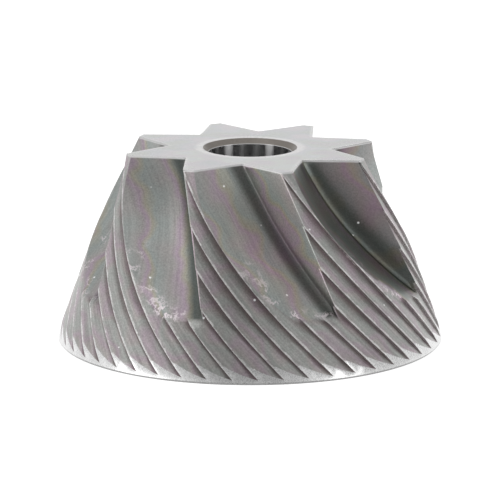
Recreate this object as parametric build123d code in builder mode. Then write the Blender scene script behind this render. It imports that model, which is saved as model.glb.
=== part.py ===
from build123d import *
from math import cos, radians, sin, tan
import os

os.makedirs("parts", exist_ok=True)

# Conical burr of a coffee grinder: one solid steel cone on a bore, with main flutes
# that open at the top face and fine helical teeth all the way down to the base.
# The base stands on Z = 0 and the bore runs along Z. Angles are read from the front,
# -Y, counter-clockwise as seen from above.

# Blank, millimetres and degrees.
base_diameter = 71.0
height = 35.9
star_diameter = 46.4
band_height = 3.0
band_taper = 13.5
base_bevel = 0.3
bore_diameter = 15.4
bore_bevel = 1.0

# Main flutes. Each one starts as a straight-sided notch in the top face. Its root turns
# and comes out in a curve until it leaves the cone at the run-out height. The back closes
# on the root on the way down. The floor is flat from its outer edge for a share of its
# width, and then hollow in two bends up to the root, most of all halfway down.
flute_count = 8
star_angle = 16.3
tip_land_angle = 4.9
root_diameter = 29.9
root_dip = 0.84
runout_height = 9.9
root_turn = 36.1
root_bow = 0.52
floor_turn = 42.3
floor_bow = -0.51
floor_flat_share = 0.59
floor_hollow = 1.1
hollow_bulge = 0.42
back_close = 1.55
back_lean = 0.3

# Fine teeth. The floor of a groove falls from the land on its left to the foot of a
# steep wall, and near the base the groove lifts out along an arc to a point.
teeth_per_flute = 6
tooth_depth = 0.6
tooth_turn = 58.0
tooth_angle = 2.6
wall_share = 0.035
land_share = 0.095
tooth_end_height = 0.75
tooth_lift_height = 5.15

# Working clearances of the cutting shapes outside the blank. The sides of a flute reach
# past its edges, and lift off the cone at the run-out. The hollow never quite vanishes.
side_reach = 1.2
side_lift = 0.35
least_hollow = 0.04
tooth_clear = 0.4
end_clear = 0.5

base_radius = base_diameter / 2
star_radius = star_diameter / 2
root_radius = root_diameter / 2
bore_radius = bore_diameter / 2
band_slope = tan(radians(band_taper))
band_radius = base_radius - (band_height - base_bevel) * band_slope
cone_slope = (band_radius - star_radius) / (height - band_height)
flute_pitch = 360 / flute_count
tooth_count = flute_count * teeth_per_flute
tooth_pitch = 360 / tooth_count
floor_angle = tooth_pitch * (1 - land_share)
floor_over = tooth_pitch * 0.02


def cone_radius(z):
    """Radius of the cone, carried on below the band as well."""
    return band_radius - cone_slope * (z - band_height)


def polar(radius, angle):
    """Point at an angle from the front."""
    return (radius * sin(radians(angle)), -radius * cos(radians(angle)))


def spaced(low, high, count):
    """Evenly spaced heights from low to high."""
    return [low + (high - low) * i / (count - 1) for i in range(count)]


def turned(share, turn, bow):
    """Part of a turn that is done at a share of the way from the top to the run-out."""
    return turn * (share + bow * share * (1 - share))


def flute_section(z):
    """Corners of a flute: its root, back, crown and floor, and the bends of the hollow."""
    share = (height - z) / (height - runout_height)
    middle = star_angle - flute_pitch / 2
    half = (flute_pitch - tip_land_angle) / 2
    depth = root_radius + turned(share, cone_radius(runout_height) - root_radius, -root_dip)
    rim = max(cone_radius(z) + side_lift * share**12, depth + end_clear)
    root = middle + turned(share, root_turn, root_bow)
    floor = middle - half + turned(share, floor_turn, floor_bow)
    back = root + half * max(1 - share, 0) ** back_close + back_lean * share
    root_point = Vector(*polar(depth, root))
    back_end = root_point + (Vector(*polar(rim, back)) - root_point) * side_reach
    crown = polar(rim * side_reach / cos(radians((back - floor) / 2)), (back + floor) / 2)
    floor_edge = Vector(*polar(rim, floor))
    across = root_point - floor_edge
    hollow = max(4 * floor_hollow * share * (1 - share), least_hollow)
    inward = across.normalized().rotate(Axis.Z, 90) * hollow
    flat_end = floor_edge + across * floor_flat_share + inward
    floor_end = flat_end + (floor_edge - flat_end) * side_reach
    bend = (flat_end + root_point) / 2 + inward * hollow_bulge
    return [root_point, back_end, crown, floor_end, flat_end, bend]


end_rise = (cone_slope - band_slope) * (band_height - tooth_end_height)
end_depth = tooth_depth * cone_radius(tooth_end_height) / base_radius


def tooth_section(z):
    """Ring of saw teeth that stand out past the blank, so that only the grooves cut it."""
    size = cone_radius(z) / base_radius
    depth = tooth_depth * size
    lift = 0
    if z < tooth_lift_height:
        climb = (tooth_lift_height - z) / (tooth_lift_height - tooth_end_height)
        lift = (end_depth - end_rise) * climb**2
    foot_radius = cone_radius(z) - depth + lift
    outer = cone_radius(z) + tooth_clear * size + lift
    wall = tooth_pitch * wall_share * (1 + tooth_clear / tooth_depth)
    rise = depth * (1 + floor_over / floor_angle)
    points = []
    for i in range(tooth_count):
        foot = tooth_angle - tooth_turn * (z - tooth_end_height) / height + i * tooth_pitch
        start = foot - floor_angle - floor_over
        points.append(polar(outer, start))
        points.append(polar(foot_radius + rise, start))
        points.append(polar(foot_radius, foot))
        points.append(polar(outer, foot + wall))
    return points


with BuildPart() as toothed_core:
    for z in spaced(-end_clear, height + end_clear, 22):
        with BuildSketch(Plane.XY.offset(z)):
            Polygon(*tooth_section(z), align=None)
    loft()

with BuildPart() as flute_cutter:
    for z in spaced(runout_height - 1.7, height + end_clear, 9):
        with BuildSketch(Plane.XY.offset(z)):
            Polygon(*flute_section(z), align=None)
    loft()

with BuildPart() as cone_burr:
    with BuildSketch(Plane.XZ):
        with BuildLine():
            Polyline(
                (bore_radius + bore_bevel, 0),
                (base_radius - base_bevel, 0),
                (base_radius, base_bevel),
                (band_radius, band_height),
                (star_radius, height),
                (bore_radius + bore_bevel, height),
                (bore_radius, height - bore_bevel),
                (bore_radius, bore_bevel),
                close=True,
            )
        make_face()
    revolve(axis=Axis.Z)
    add(toothed_core.part, mode=Mode.INTERSECT)
    with PolarLocations(0, flute_count):
        add(flute_cutter.part, mode=Mode.SUBTRACT)

cone_burr.part.label = "cone_burr"
export_step(cone_burr.part, "parts/cone_burr.step")
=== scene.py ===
import math

import bmesh
import bpy
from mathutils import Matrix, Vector


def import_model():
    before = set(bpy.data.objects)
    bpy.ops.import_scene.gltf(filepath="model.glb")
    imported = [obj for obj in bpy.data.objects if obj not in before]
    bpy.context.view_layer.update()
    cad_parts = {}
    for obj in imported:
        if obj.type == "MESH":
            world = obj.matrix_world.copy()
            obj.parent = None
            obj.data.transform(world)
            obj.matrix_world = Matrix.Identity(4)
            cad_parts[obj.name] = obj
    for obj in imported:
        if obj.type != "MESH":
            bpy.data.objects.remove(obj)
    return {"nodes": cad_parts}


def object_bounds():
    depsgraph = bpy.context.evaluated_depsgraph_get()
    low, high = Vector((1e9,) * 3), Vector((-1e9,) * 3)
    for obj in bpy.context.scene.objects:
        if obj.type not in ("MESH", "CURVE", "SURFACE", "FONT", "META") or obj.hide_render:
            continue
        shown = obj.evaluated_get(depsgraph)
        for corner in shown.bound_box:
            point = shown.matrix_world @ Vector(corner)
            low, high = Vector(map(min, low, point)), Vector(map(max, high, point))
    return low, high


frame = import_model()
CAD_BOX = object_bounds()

# Sizes of the burr that its finish follows, in millimetres and degrees. Angles are
# read from the front, counter-clockwise as seen from above.
MM = 0.001
HEIGHT = 35.9
BASE_RADIUS = 35.5
BASE_BEVEL = 0.3
BAND_HEIGHT = 3.0
BAND_SLOPE = 0.24
BAND_RADIUS = BASE_RADIUS - BAND_SLOPE * (BAND_HEIGHT - BASE_BEVEL)
STAR_RADIUS = 23.2
CONE_SLOPE = (BAND_RADIUS - STAR_RADIUS) / (HEIGHT - BAND_HEIGHT)
BORE_RADIUS = 7.7
BORE_BEVEL = 1.0
MOUTH_RADIUS = BORE_RADIUS + BORE_BEVEL
FLUTE_PITCH = 45.0
FLUTE_START = -6.2
FLUTE_HALF = 20.05
RUNOUT_HEIGHT = 9.9
ROOT_TURN = 36.1
ROOT_BOW = 0.52
FLOOR_TURN = 42.3
FLOOR_BOW = -0.51
BACK_CLOSE = 1.55
BACK_LEAN = 0.3
TOOTH_PITCH = 7.5
TOOTH_ANGLE = 2.6
TOOTH_TURN = 58.0
TOOTH_END_HEIGHT = 0.75

# Roundings that only the light shows, the width of the painted highlight along the top face's
# rims, the painted reflection streaks round the bore and the depth of the cutter's marks, in
# millimetres and degrees.
ROOT_ROUNDING = 1.3
EDGE_ROUNDING = 0.09
RIM_WIDTH = 1.2
STREAK_COUNT = 6
STREAK_TURN = -102.0
MARK_DEPTH = 0.03

# An edge that bends by more degrees than this stays sharp, and corners of the mesh that
# are nearer than this, in millimetres, are one corner.
SHARP_ANGLE = 28.0
WELD_GAP = 0.001

# The camera's lens and sensor in millimetres, and its place and the point that it looks
# at in metres.
LENS = 302.0
SENSOR = 36.0
CAMERA_PLACE = (0.0, -0.75516, 0.19117)
CAMERA_AIM = (0.0, 0.0, 0.0165)

# The studio, in metres.
FLOOR_RADIUS = 4.0
LAMP_DISTANCE = 1.2


class Value:
    """A shader socket. Sums written with it add the Math nodes that they need."""

    def __init__(self, nodes, socket):
        self.nodes = nodes
        self.socket = socket

    def math(self, operation, *values):
        inputs = {f"_{place}": value for place, value in enumerate(values)}
        return self.nodes.node("Math", {"operation": operation}, **inputs)

    def __add__(self, other):
        return self.math("ADD", self, other)

    def __radd__(self, other):
        return self.math("ADD", other, self)

    def __sub__(self, other):
        return self.math("SUBTRACT", self, other)

    def __rsub__(self, other):
        return self.math("SUBTRACT", other, self)

    def __mul__(self, other):
        return self.math("MULTIPLY", self, other)

    def __rmul__(self, other):
        return self.math("MULTIPLY", other, self)

    def __truediv__(self, other):
        return self.math("DIVIDE", self, other)

    def __neg__(self):
        return self.math("MULTIPLY", self, -1.0)

    def __pow__(self, other):
        return self.math("POWER", self, other)

    def __mod__(self, other):
        return self.math("FLOORED_MODULO", self, other)

    def least(self, other):
        return self.math("MINIMUM", self, other)

    def most(self, other):
        return self.math("MAXIMUM", self, other)

    def size(self):
        return self.math("ABSOLUTE", self)

    def root(self):
        return self.math("SQRT", self)

    def whole(self):
        return self.math("FLOOR", self)

    def wave(self):
        return self.math("SINE", self)

    def step(self, low, high):
        """0 at low, 1 at high and smooth between them. low may be the larger."""
        return self.nodes.node(
            "MapRange", {"interpolation_type": "SMOOTHSTEP"}, "Result",
            Value=self, From_Min=low, From_Max=high,
        )


class Nodes:
    """Adds nodes to the tree of a material or of the world."""

    def __init__(self, tree):
        self.tree = tree
        self.tree.nodes.clear()

    def node(self, kind, settings=None, output=0, **inputs):
        """Adds a node: its settings first, then the values or links of its inputs, each
        named by its label or by _ and its number. Gives one output, or all for None."""
        node = self.tree.nodes.new("ShaderNode" + kind)
        for name, value in (settings or {}).items():
            if name == "stops":
                place_stops(node.color_ramp.elements, value)
            else:
                setattr(node, name, value)
        for name, value in inputs.items():
            entry = node.inputs[int(name[1:]) if name[0] == "_" else name.replace("_", " ")]
            if isinstance(value, Value):
                self.tree.links.new(value.socket, entry)
            else:
                entry.default_value = value
        if output is None:
            return [Value(self, socket) for socket in node.outputs]
        return Value(self, node.outputs[output])

    def parts(self, vector):
        """The three parts of a vector."""
        return self.node("SeparateXYZ", output=None, Vector=vector)

    def vector(self, x, y, z):
        return self.node("CombineXYZ", X=x, Y=y, Z=z)

    def noise(self, x, y, z, detail, roughness):
        """Noise with one feature to each unit of x, y and z."""
        return self.node(
            "TexNoise", output="Fac", Vector=self.vector(x, y, z),
            Scale=1.0, Detail=detail, Roughness=roughness,
        )

    def blend(self, share, low, high):
        """Mixes two colours: low at 0 and high at 1."""
        return self.node(
            "Mix", {"data_type": "RGBA", "clamp_factor": True}, 2,
            _0=share, _6=low, _7=high,
        )

    def tinted(self, colour, tint):
        """A colour multiplied by a tint."""
        return self.node(
            "Mix", {"data_type": "RGBA", "blend_type": "MULTIPLY"}, 2,
            _0=1.0, _6=colour, _7=tint,
        )

    def ramp(self, share, stops):
        """Colours along a share from 0 to 1, from pairs of a place and a colour."""
        return self.node("ValToRGB", {"stops": stops}, _0=share)

    def finish(self, kind, shader):
        self.node("Output" + kind, output=None, Surface=shader)


def place_stops(marks, stops):
    """Gives a ramp, which starts with two marks, one mark for each stop."""
    for place, _ in stops[2:]:
        marks.new(place)
    for mark, (place, colour) in zip(marks, stops):
        mark.position = place
        mark.color = (*colour, 1.0)


def grey(level, warmth=0.0):
    """A plain grey, or a slightly warm or cool one."""
    return (level * (1 + warmth), level, level * (1 - warmth), 1.0)


def turned(share, turn, bow):
    """Part of a turn that is done at a share of the way down, as the flutes are cut."""
    return turn * (share + bow * share * (1 - share))


def material(name):
    made = bpy.data.materials.new(name)
    made.use_nodes = True
    return made, Nodes(made.node_tree)


# Colours of the steel, in linear light.
FLUTE_DULL, FLUTE_BRIGHT = grey(0.34), grey(0.42)
# Painted light on the flutes' backs at the front of the burr, and painted shade on the backs on
# its right.
BACK_PAINTED_LIGHT = grey(0.8, 0.01)
BACK_PAINTED_SHADE = (0.16, 0.145, 0.15, 1.0)
# Painted shade in the hollow along each flute's root.
ROOT_PAINTED_SHADE = (0.07, 0.075, 0.07, 1.0)
GROOVE_DULL, GROOVE_BRIGHT = grey(0.34), grey(0.47)
# Painted shade at the foot of each groove's wall.
GROOVE_FOOT_SHADE = (0.125, 0.105, 0.105, 1.0)
# Worn crests with a painted highlight along them.
CREST_WEAR_AND_HIGHLIGHT = grey(0.74, 0.01)
BAND_BRIGHT = grey(0.7)
# Painted shade along the bottom edge where the burr meets the floor.
BASE_EDGE_SHADE = grey(0.3)
CURL_BRIGHT = (0.8, 0.73, 0.76, 1.0)
SPECK_BRIGHT = grey(0.95)
# Painted highlight along the lip under the top face.
LIP_PAINTED_HIGHLIGHT = grey(0.85)
TOP_DULL, TOP_BRIGHT = grey(0.66), grey(0.72)
# Painted highlight along the top face's rims.
RIM_PAINTED_HIGHLIGHT = grey(0.9, 0.01)
BEVEL_DULL, BEVEL_BRIGHT = grey(0.17, 0.12), grey(0.3, 0.08)
# The bore wall's streaks are a painted reflection, lighter than the wall.
WALL_DULL, WALL_PAINTED_REFLECTION = grey(0.6), grey(0.98)
GRAIN_DARK, GRAIN_LIGHT = grey(0.83), grey(1.16)

# Faint tints of a thin oxide film: pairs of a place on a ramp and a colour.
FLUTE_TINTS = (
    (0.0, (0.98, 1.01, 0.98)), (0.22, (1.05, 1.0, 0.98)), (0.42, (1.12, 0.91, 1.07)),
    (0.58, (1.08, 1.03, 0.86)), (0.76, (0.95, 1.03, 1.0)), (1.0, (0.98, 1.01, 0.98)),
)
GROOVE_TINTS = (
    (0.0, (0.99, 1.02, 0.98)), (0.3, (1.05, 0.98, 0.96)), (0.55, (1.09, 0.93, 1.02)),
    (0.8, (1.02, 1.0, 0.98)), (1.0, (0.99, 1.02, 0.98)),
)
TOP_TINTS = (
    (0.0, (0.98, 1.0, 1.03)), (0.35, (1.03, 0.98, 1.02)), (0.7, (0.99, 1.02, 0.98)),
    (1.0, (0.98, 1.0, 1.03)),
)


class Spot:
    """A spot on the burr's surface: its place, the face it is on and its patterns.
    Steps between faces are in millimetres, or in degrees across a flute."""

    def __init__(self, nodes):
        x, y, z = (part / MM for part in nodes.parts(nodes.node("TexCoord", output="Object")))
        self.x, self.y, self.z = x, y, z
        self.radius = (x * x + y * y).root()
        self.angle = x.math("ARCTAN2", x, -y) * (180 / math.pi)
        cone = BAND_RADIUS - CONE_SLOPE * (z - BAND_HEIGHT)
        band = BASE_RADIUS - BAND_SLOPE * (z - BASE_BEVEL)
        self.depth = cone.least(band) - self.radius

        # The flute: its number, and the angle from its root to the floor's edge on the
        # left, to the back's edge on the right and to the point itself, also as an arc.
        share = (HEIGHT - z) / (HEIGHT - RUNOUT_HEIGHT)
        root = turned(share, ROOT_TURN, ROOT_BOW)
        self.left = turned(share, FLOOR_TURN, FLOOR_BOW) - root - FLUTE_HALF
        right = FLUTE_HALF * (1 - share).most(0.0) ** BACK_CLOSE + BACK_LEAN * share
        ridge = (self.left + right + FLUTE_PITCH) / 2
        turn = self.angle - FLUTE_START - root - ridge
        self.flute = (turn / FLUTE_PITCH).whole()
        self.offset = turn % FLUTE_PITCH + ridge - FLUTE_PITCH
        self.arc = self.offset * self.radius * (math.pi / 180)
        in_flute = (
            self.offset.step(self.left - 0.2, self.left + 0.5)
            * self.offset.step(right + 0.4, right - 0.1)
            * share.step(1.0, 0.95)
        )
        self.in_flute = in_flute.most(self.depth.step(0.62, 0.9))

        # The groove: its number, and how far the point lies from one foot to the next.
        crest = TOOTH_ANGLE - TOOTH_TURN / HEIGHT * (z - TOOTH_END_HEIGHT)
        teeth = (self.angle - crest) / TOOTH_PITCH
        self.tooth = teeth.whole()
        self.across = teeth % 1.0

        # The base band, the top face, the bore's mouth with its bevel, the bore's wall,
        # and the lip that runs round the star under the top face.
        self.band = z.step(3.4, 2.9) * self.depth.step(0.05, 0.02)
        self.top = z.step(HEIGHT - 0.05, HEIGHT - 0.01)
        self.mouth = self.radius.step(MOUTH_RADIUS + 0.02, MOUTH_RADIUS - 0.06)
        self.wall = self.radius.step(BORE_RADIUS + 0.12, BORE_RADIUS + 0.04)
        self.lip = z.step(HEIGHT - 0.45, HEIGHT - 0.2) * (1 - self.top) * (1 - self.mouth)

        # Streaks of the cutter, long along the cut and fine across it, broad clouds,
        # fine grain and patches of wear.
        self.flute_line = nodes.noise(self.offset * 1.5, z * 0.07, self.flute * 3.7, 4.0, 0.6)
        self.groove_line = nodes.noise(self.across * 9.0, z * 0.1, self.tooth * 1.9, 4.0, 0.6)
        self.cloud = nodes.noise(x * 0.16, y * 0.16, z * 0.16, 1.0, 0.4)
        self.grain = nodes.noise(x * 3.4, y * 3.4, z * 3.4, 3.0, 0.65)
        worn = nodes.noise(z * 0.8, self.tooth * 5.3, self.across * 4.0, 4.0, 0.65)
        self.worn = worn.step(0.36, 0.62)


def flute_colour(nodes, spot):
    """Painted shade that is darkest at the root. The backs carry painted light at the front
    of the burr and painted shade on its right."""
    # Painted shade on the backs on the burr's right, and painted light on the backs at its
    # front.
    painted_shade_side = spot.angle.step(30.0, 48.0) * spot.angle.step(120.0, 90.0)
    painted_light_side = spot.angle.step(-40.0, -15.0) * spot.angle.step(42.0, 28.0)
    colour = nodes.blend(spot.flute_line.step(0.2, 0.8), FLUTE_DULL, FLUTE_BRIGHT)
    back = nodes.blend(painted_light_side, colour, BACK_PAINTED_LIGHT)
    back = nodes.blend(painted_shade_side, back, BACK_PAINTED_SHADE)
    colour = nodes.blend(spot.arc.step(0.2, 0.9), colour, back)
    # Painted shade along the hollow at the root, and beside the root on the backs that carry
    # painted shade.
    root_shade = spot.arc.step(-3.4, -1.2) * spot.arc.step(0.3, 0.0) * (1 - painted_shade_side)
    root_shade = root_shade.most(painted_shade_side * spot.arc.step(-1.2, -0.5) * spot.arc.step(2.6, 1.0))
    colour = nodes.blend(root_shade * 0.85, colour, ROOT_PAINTED_SHADE)
    bands = (spot.arc * 0.15 + spot.cloud * 1.3 + spot.flute * 0.37) % 1.0
    return nodes.tinted(colour, nodes.ramp(bands, FLUTE_TINTS))


def groove_colour(nodes, spot):
    """Light on the crests, worn and with a painted highlight, and painted shade towards the
    foot of the wall, with a bright base band and painted shade along the bottom edge."""
    colour = nodes.blend(spot.groove_line.step(0.25, 0.75), GROOVE_DULL, GROOVE_BRIGHT)
    # Painted shade towards the foot of each groove's wall, wider and uneven halfway up.
    uneven = nodes.noise(spot.z * 0.3, spot.tooth * 3.1, spot.across * 2.0, 3.0, 0.6)
    middle = spot.z.step(5.0, 14.0) * spot.z.step(33.0, 26.0)
    foot = spot.across.step(0.84 - 0.4 * middle - 0.6 * (uneven - 0.3), 0.97)
    colour = nodes.blend(foot * 0.9, colour, GROOVE_FOOT_SHADE)
    bands = (spot.across * 0.5 + spot.z * 0.05 + spot.cloud * 2.6) % 1.0
    colour = nodes.tinted(colour, nodes.ramp(bands, GROOVE_TINTS))
    # Crests lighter with wear and with a painted highlight.
    crest = spot.across.step(0.09 + 0.1 * spot.worn, 0.05 + 0.05 * spot.worn)
    crest = spot.across.step(0.01, 0.04) * crest
    colour = nodes.blend(crest * (spot.worn * 0.5 + 0.4), colour, CREST_WEAR_AND_HIGHLIGHT)
    colour = nodes.blend(spot.band, colour, BAND_BRIGHT)
    # Painted shade along the bottom edge.
    return nodes.blend(spot.z.step(0.45, 0.3), colour, BASE_EDGE_SHADE)


def side_colour(nodes, spot):
    """Flutes and grooves, with curls of metal along the floors' edges, a few bright
    specks, fine grain and a painted highlight along the lip under the top face."""
    colour = nodes.blend(spot.in_flute, groove_colour(nodes, spot), flute_colour(nodes, spot))
    curl = nodes.noise(spot.x * 0.5, spot.y * 0.5, spot.z * 0.4, 4.0, 0.62)
    curl = (curl - 0.5).size().step(0.055, 0.012)
    edge = spot.offset.step(spot.left - 1.5, spot.left)
    edge = edge * spot.offset.step(spot.left + 8.0, spot.left + 4.0)
    edge = edge * spot.z.step(25.0, 18.0) + spot.in_flute * spot.z.step(13.0, 11.0)
    patch = nodes.noise(spot.x * 0.2, spot.y * 0.2, spot.z * 0.2, 2.0, 0.5).step(0.46, 0.58)
    curl = curl * edge * spot.z.step(9.0, 10.5) * patch
    colour = nodes.blend(curl * 0.65, colour, CURL_BRIGHT)
    speck = nodes.node(
        "TexVoronoi", output="Distance", Scale=1.0,
        Vector=nodes.vector(spot.x * 0.21, spot.y * 0.21, spot.z * 0.21),
    )
    colour = nodes.blend(speck.step(0.06, 0.03), colour, SPECK_BRIGHT)
    grain = nodes.blend(spot.grain.step(0.25, 0.75), GRAIN_DARK, GRAIN_LIGHT)
    colour = nodes.tinted(colour, grain)
    # Painted highlight along the lip under the top face.
    return nodes.blend(spot.lip * 0.8, colour, LIP_PAINTED_HIGHLIGHT)


def top_colour(nodes, spot):
    """Ground pale and even, with painted highlights along the rims of the star and round the
    bore.
    """
    bands = (spot.cloud * 3.0 + spot.angle * 0.004) % 1.0
    ground = nodes.blend(spot.cloud.step(0.3, 0.7), TOP_DULL, TOP_BRIGHT)
    ground = nodes.tinted(ground, nodes.ramp(bands, TOP_TINTS))
    # Painted highlight along the top face's rims and round the bore, uneven with wear.
    upright = nodes.parts(nodes.node("Bevel", {"samples": 4}, Radius=RIM_WIDTH * MM))[2]
    rim_highlight = upright.step(0.995, 0.93).most(spot.radius.step(10.6, 9.4))
    return nodes.blend(rim_highlight * (0.5 + 0.4 * spot.worn), ground, RIM_PAINTED_HIGHLIGHT)


def steel():
    """Hardened grinding steel: ground faces, milled flutes and grooves, polished bore."""
    made, nodes = material("burr_steel")
    spot = Spot(nodes)

    # The bore has a brownish bevel and a polished wall with rougher streaks whose lighter
    # colour is a painted reflection.
    turn = spot.angle * math.radians(STREAK_COUNT) + math.radians(STREAK_TURN)
    reflection_streak = (turn + spot.cloud * 1.2 - 0.6).wave().step(0.62, 1.05)
    bevel = nodes.blend(spot.grain, BEVEL_DULL, BEVEL_BRIGHT)
    bore = nodes.blend(spot.wall, bevel, nodes.blend(reflection_streak, WALL_DULL, WALL_PAINTED_REFLECTION))
    inside = spot.mouth * (1 - spot.top)
    colour = nodes.blend(spot.top, side_colour(nodes, spot), top_colour(nodes, spot))
    colour = nodes.blend(inside, colour, bore)

    rough = 0.3 + 0.12 * spot.grain - 0.1 * spot.top - 0.08 * spot.band
    rough = rough * (1 - spot.wall) + (0.2 + 0.45 * reflection_streak) * spot.wall

    # Edges are rounded softly at the flutes' roots and at the lip, and finely elsewhere.
    root = spot.offset.step(-7.0, -5.5) * spot.offset.step(6.5, 5.0) * spot.depth.step(0.9, 1.6)
    root = (root * (1 - spot.top) * (1 - spot.mouth)).most(spot.lip)
    soft = nodes.node("Bevel", {"samples": 8}, Radius=ROOT_ROUNDING * MM)
    fine = nodes.node("Bevel", {"samples": 4}, Radius=EDGE_ROUNDING * MM)
    normal = nodes.node("Mix", {"data_type": "VECTOR"}, 1, _0=root, _4=fine, _5=soft)
    height = spot.flute_line * spot.in_flute + spot.groove_line * (1 - spot.in_flute)
    height = height * 0.55 + spot.grain * 0.45
    height = height * (1 - spot.top * 0.7 - spot.band * 0.7) * (1 - inside)
    bump = nodes.node(
        "Bump", Strength=0.3, Distance=MARK_DEPTH * MM, Height=height, Normal=normal,
    )
    shader = nodes.node(
        "BsdfPrincipled", Base_Color=colour, Metallic=1.0, Roughness=rough, Normal=bump,
    )
    nodes.finish("Material", shader)
    return made


def studio():
    """A round pale floor, which looks white to the camera and in the steel."""
    bm = bmesh.new()
    bmesh.ops.create_circle(bm, cap_ends=True, segments=96, radius=FLOOR_RADIUS)
    mesh = bpy.data.meshes.new("floor")
    bm.to_mesh(mesh)
    bm.free()
    floor = bpy.data.objects.new("floor", mesh)
    bpy.context.scene.collection.objects.link(floor)
    floor.location.z = CAD_BOX[0].z
    made, nodes = material("floor_white")
    seen = nodes.node("LightPath", output="Is Camera Ray")
    seen = seen.most(nodes.node("LightPath", output="Is Glossy Ray"))
    seen = seen.most(nodes.node("LightPath", output="Is Transmission Ray"))
    diffuse = nodes.node("BsdfDiffuse", Color=grey(0.8))
    glow = nodes.node("Emission", Color=grey(1.0), Strength=0.7)
    both = nodes.node("AddShader", _0=diffuse, _1=glow)
    nodes.finish("Material", nodes.node("MixShader", _0=seen, _1=diffuse, _2=both))
    mesh.materials.append(made)


def lamp(name, azimuth, elevation, width, height, radiance):
    """A soft box that faces the burr. Azimuth 0 is in front, and 90 is on the right."""
    data = bpy.data.lights.new(name, "AREA")
    data.shape = "RECTANGLE"
    data.size = width
    data.size_y = height
    data.energy = radiance * math.pi * width * height
    box = bpy.data.objects.new(name, data)
    bpy.context.scene.collection.objects.link(box)
    flat = LAMP_DISTANCE * math.cos(math.radians(elevation))
    box.location = (
        flat * math.sin(math.radians(azimuth)),
        -flat * math.cos(math.radians(azimuth)),
        LAMP_DISTANCE * math.sin(math.radians(elevation)),
    )
    box.rotation_euler = (-box.location).to_track_quat("-Z", "Y").to_euler()


def world():
    """White to the camera. The steel sees white at the horizon and grey above it, which
    is brighter low down, on the left and overhead, and dimmer behind the camera."""
    surround = bpy.data.worlds.new("studio")
    surround.use_nodes = True
    bpy.context.scene.world = surround
    nodes = Nodes(surround.node_tree)
    x, y, z = nodes.parts(nodes.node("TexCoord", output="Generated"))
    left = (-x).step(0.1, 0.9)
    overhead = z.step(0.75, 0.95)
    low = z.step(0.34, 0.12)
    beyond = y.step(0.0, 0.9)
    light = 0.58 + 0.22 * left + 0.2 * overhead + low * (0.2 + 0.25 * beyond)
    behind = (-y / (x * x + y * y).root()).step(0.8, 0.97) * z.step(0.9, 0.75)
    light = light * (1 - 0.36 * behind)
    mirrored = nodes.node("LightPath", output="Is Glossy Ray").most(
        nodes.node("LightPath", output="Is Transmission Ray")
    )
    seen = nodes.node("LightPath", output="Is Camera Ray").most(mirrored * z.step(0.06, 0.02))
    colour = nodes.blend(light * (1 - seen) + seen, grey(0.0), grey(1.0))
    nodes.finish("World", nodes.node("Background", Color=colour, Strength=1.0))


def camera():
    data = bpy.data.cameras.new("camera")
    data.lens = LENS
    data.sensor_width = SENSOR
    data.clip_start = 0.05
    data.clip_end = 20.0
    view = bpy.data.objects.new("camera", data)
    bpy.context.scene.collection.objects.link(view)
    view.location = CAMERA_PLACE
    aim = Vector(CAMERA_AIM) - view.location
    view.rotation_euler = aim.to_track_quat("-Z", "Y").to_euler()
    bpy.context.scene.camera = view


def smooth_faces(limit):
    """A modifier's node group: smooth faces, with edges kept sharp past an angle."""
    group = bpy.data.node_groups.new("smooth_faces", "GeometryNodeTree")
    for way in ("INPUT", "OUTPUT"):
        group.interface.new_socket("Geometry", in_out=way, socket_type="NodeSocketGeometry")
    nodes = group.nodes
    links = group.links
    start = nodes.new("NodeGroupInput")
    end = nodes.new("NodeGroupOutput")
    faces = nodes.new("GeometryNodeSetShadeSmooth")
    edges = nodes.new("GeometryNodeSetShadeSmooth")
    edges.domain = "EDGE"
    edges.inputs["Shade Smooth"].default_value = False
    bend = nodes.new("GeometryNodeInputMeshEdgeAngle")
    sharp = nodes.new("ShaderNodeMath")
    sharp.operation = "GREATER_THAN"
    sharp.inputs[1].default_value = math.radians(limit)
    links.new(bend.outputs[0], sharp.inputs[0])
    links.new(sharp.outputs[0], edges.inputs["Selection"])
    links.new(start.outputs[0], faces.inputs["Geometry"])
    links.new(faces.outputs[0], edges.inputs["Geometry"])
    links.new(edges.outputs[0], end.inputs[0])
    return group


def dressed(piece):
    """Joins the loose triangles into one surface, and smooths all but its sharp edges."""
    close = piece.modifiers.new("close", "WELD")
    close.merge_threshold = WELD_GAP * MM
    smooth = piece.modifiers.new("smooth", "NODES")
    smooth.node_group = smooth_faces(SHARP_ANGLE)


camera()
world()
studio()
lamp("left_box", azimuth=-64, elevation=6, width=0.75, height=0.24, radiance=1.9)
lamp("right_box", azimuth=56, elevation=6, width=0.5, height=0.24, radiance=1.9)
lamp("high_box", azimuth=-45, elevation=58, width=0.7, height=0.4, radiance=0.5)
lamp("back_box", azimuth=150, elevation=50, width=0.8, height=0.4, radiance=0.5)

burr = frame["nodes"]["cone_burr"]
burr.data.materials.clear()
burr.data.materials.append(steel())
dressed(burr)

bpy.context.scene.view_settings.view_transform = "Standard"
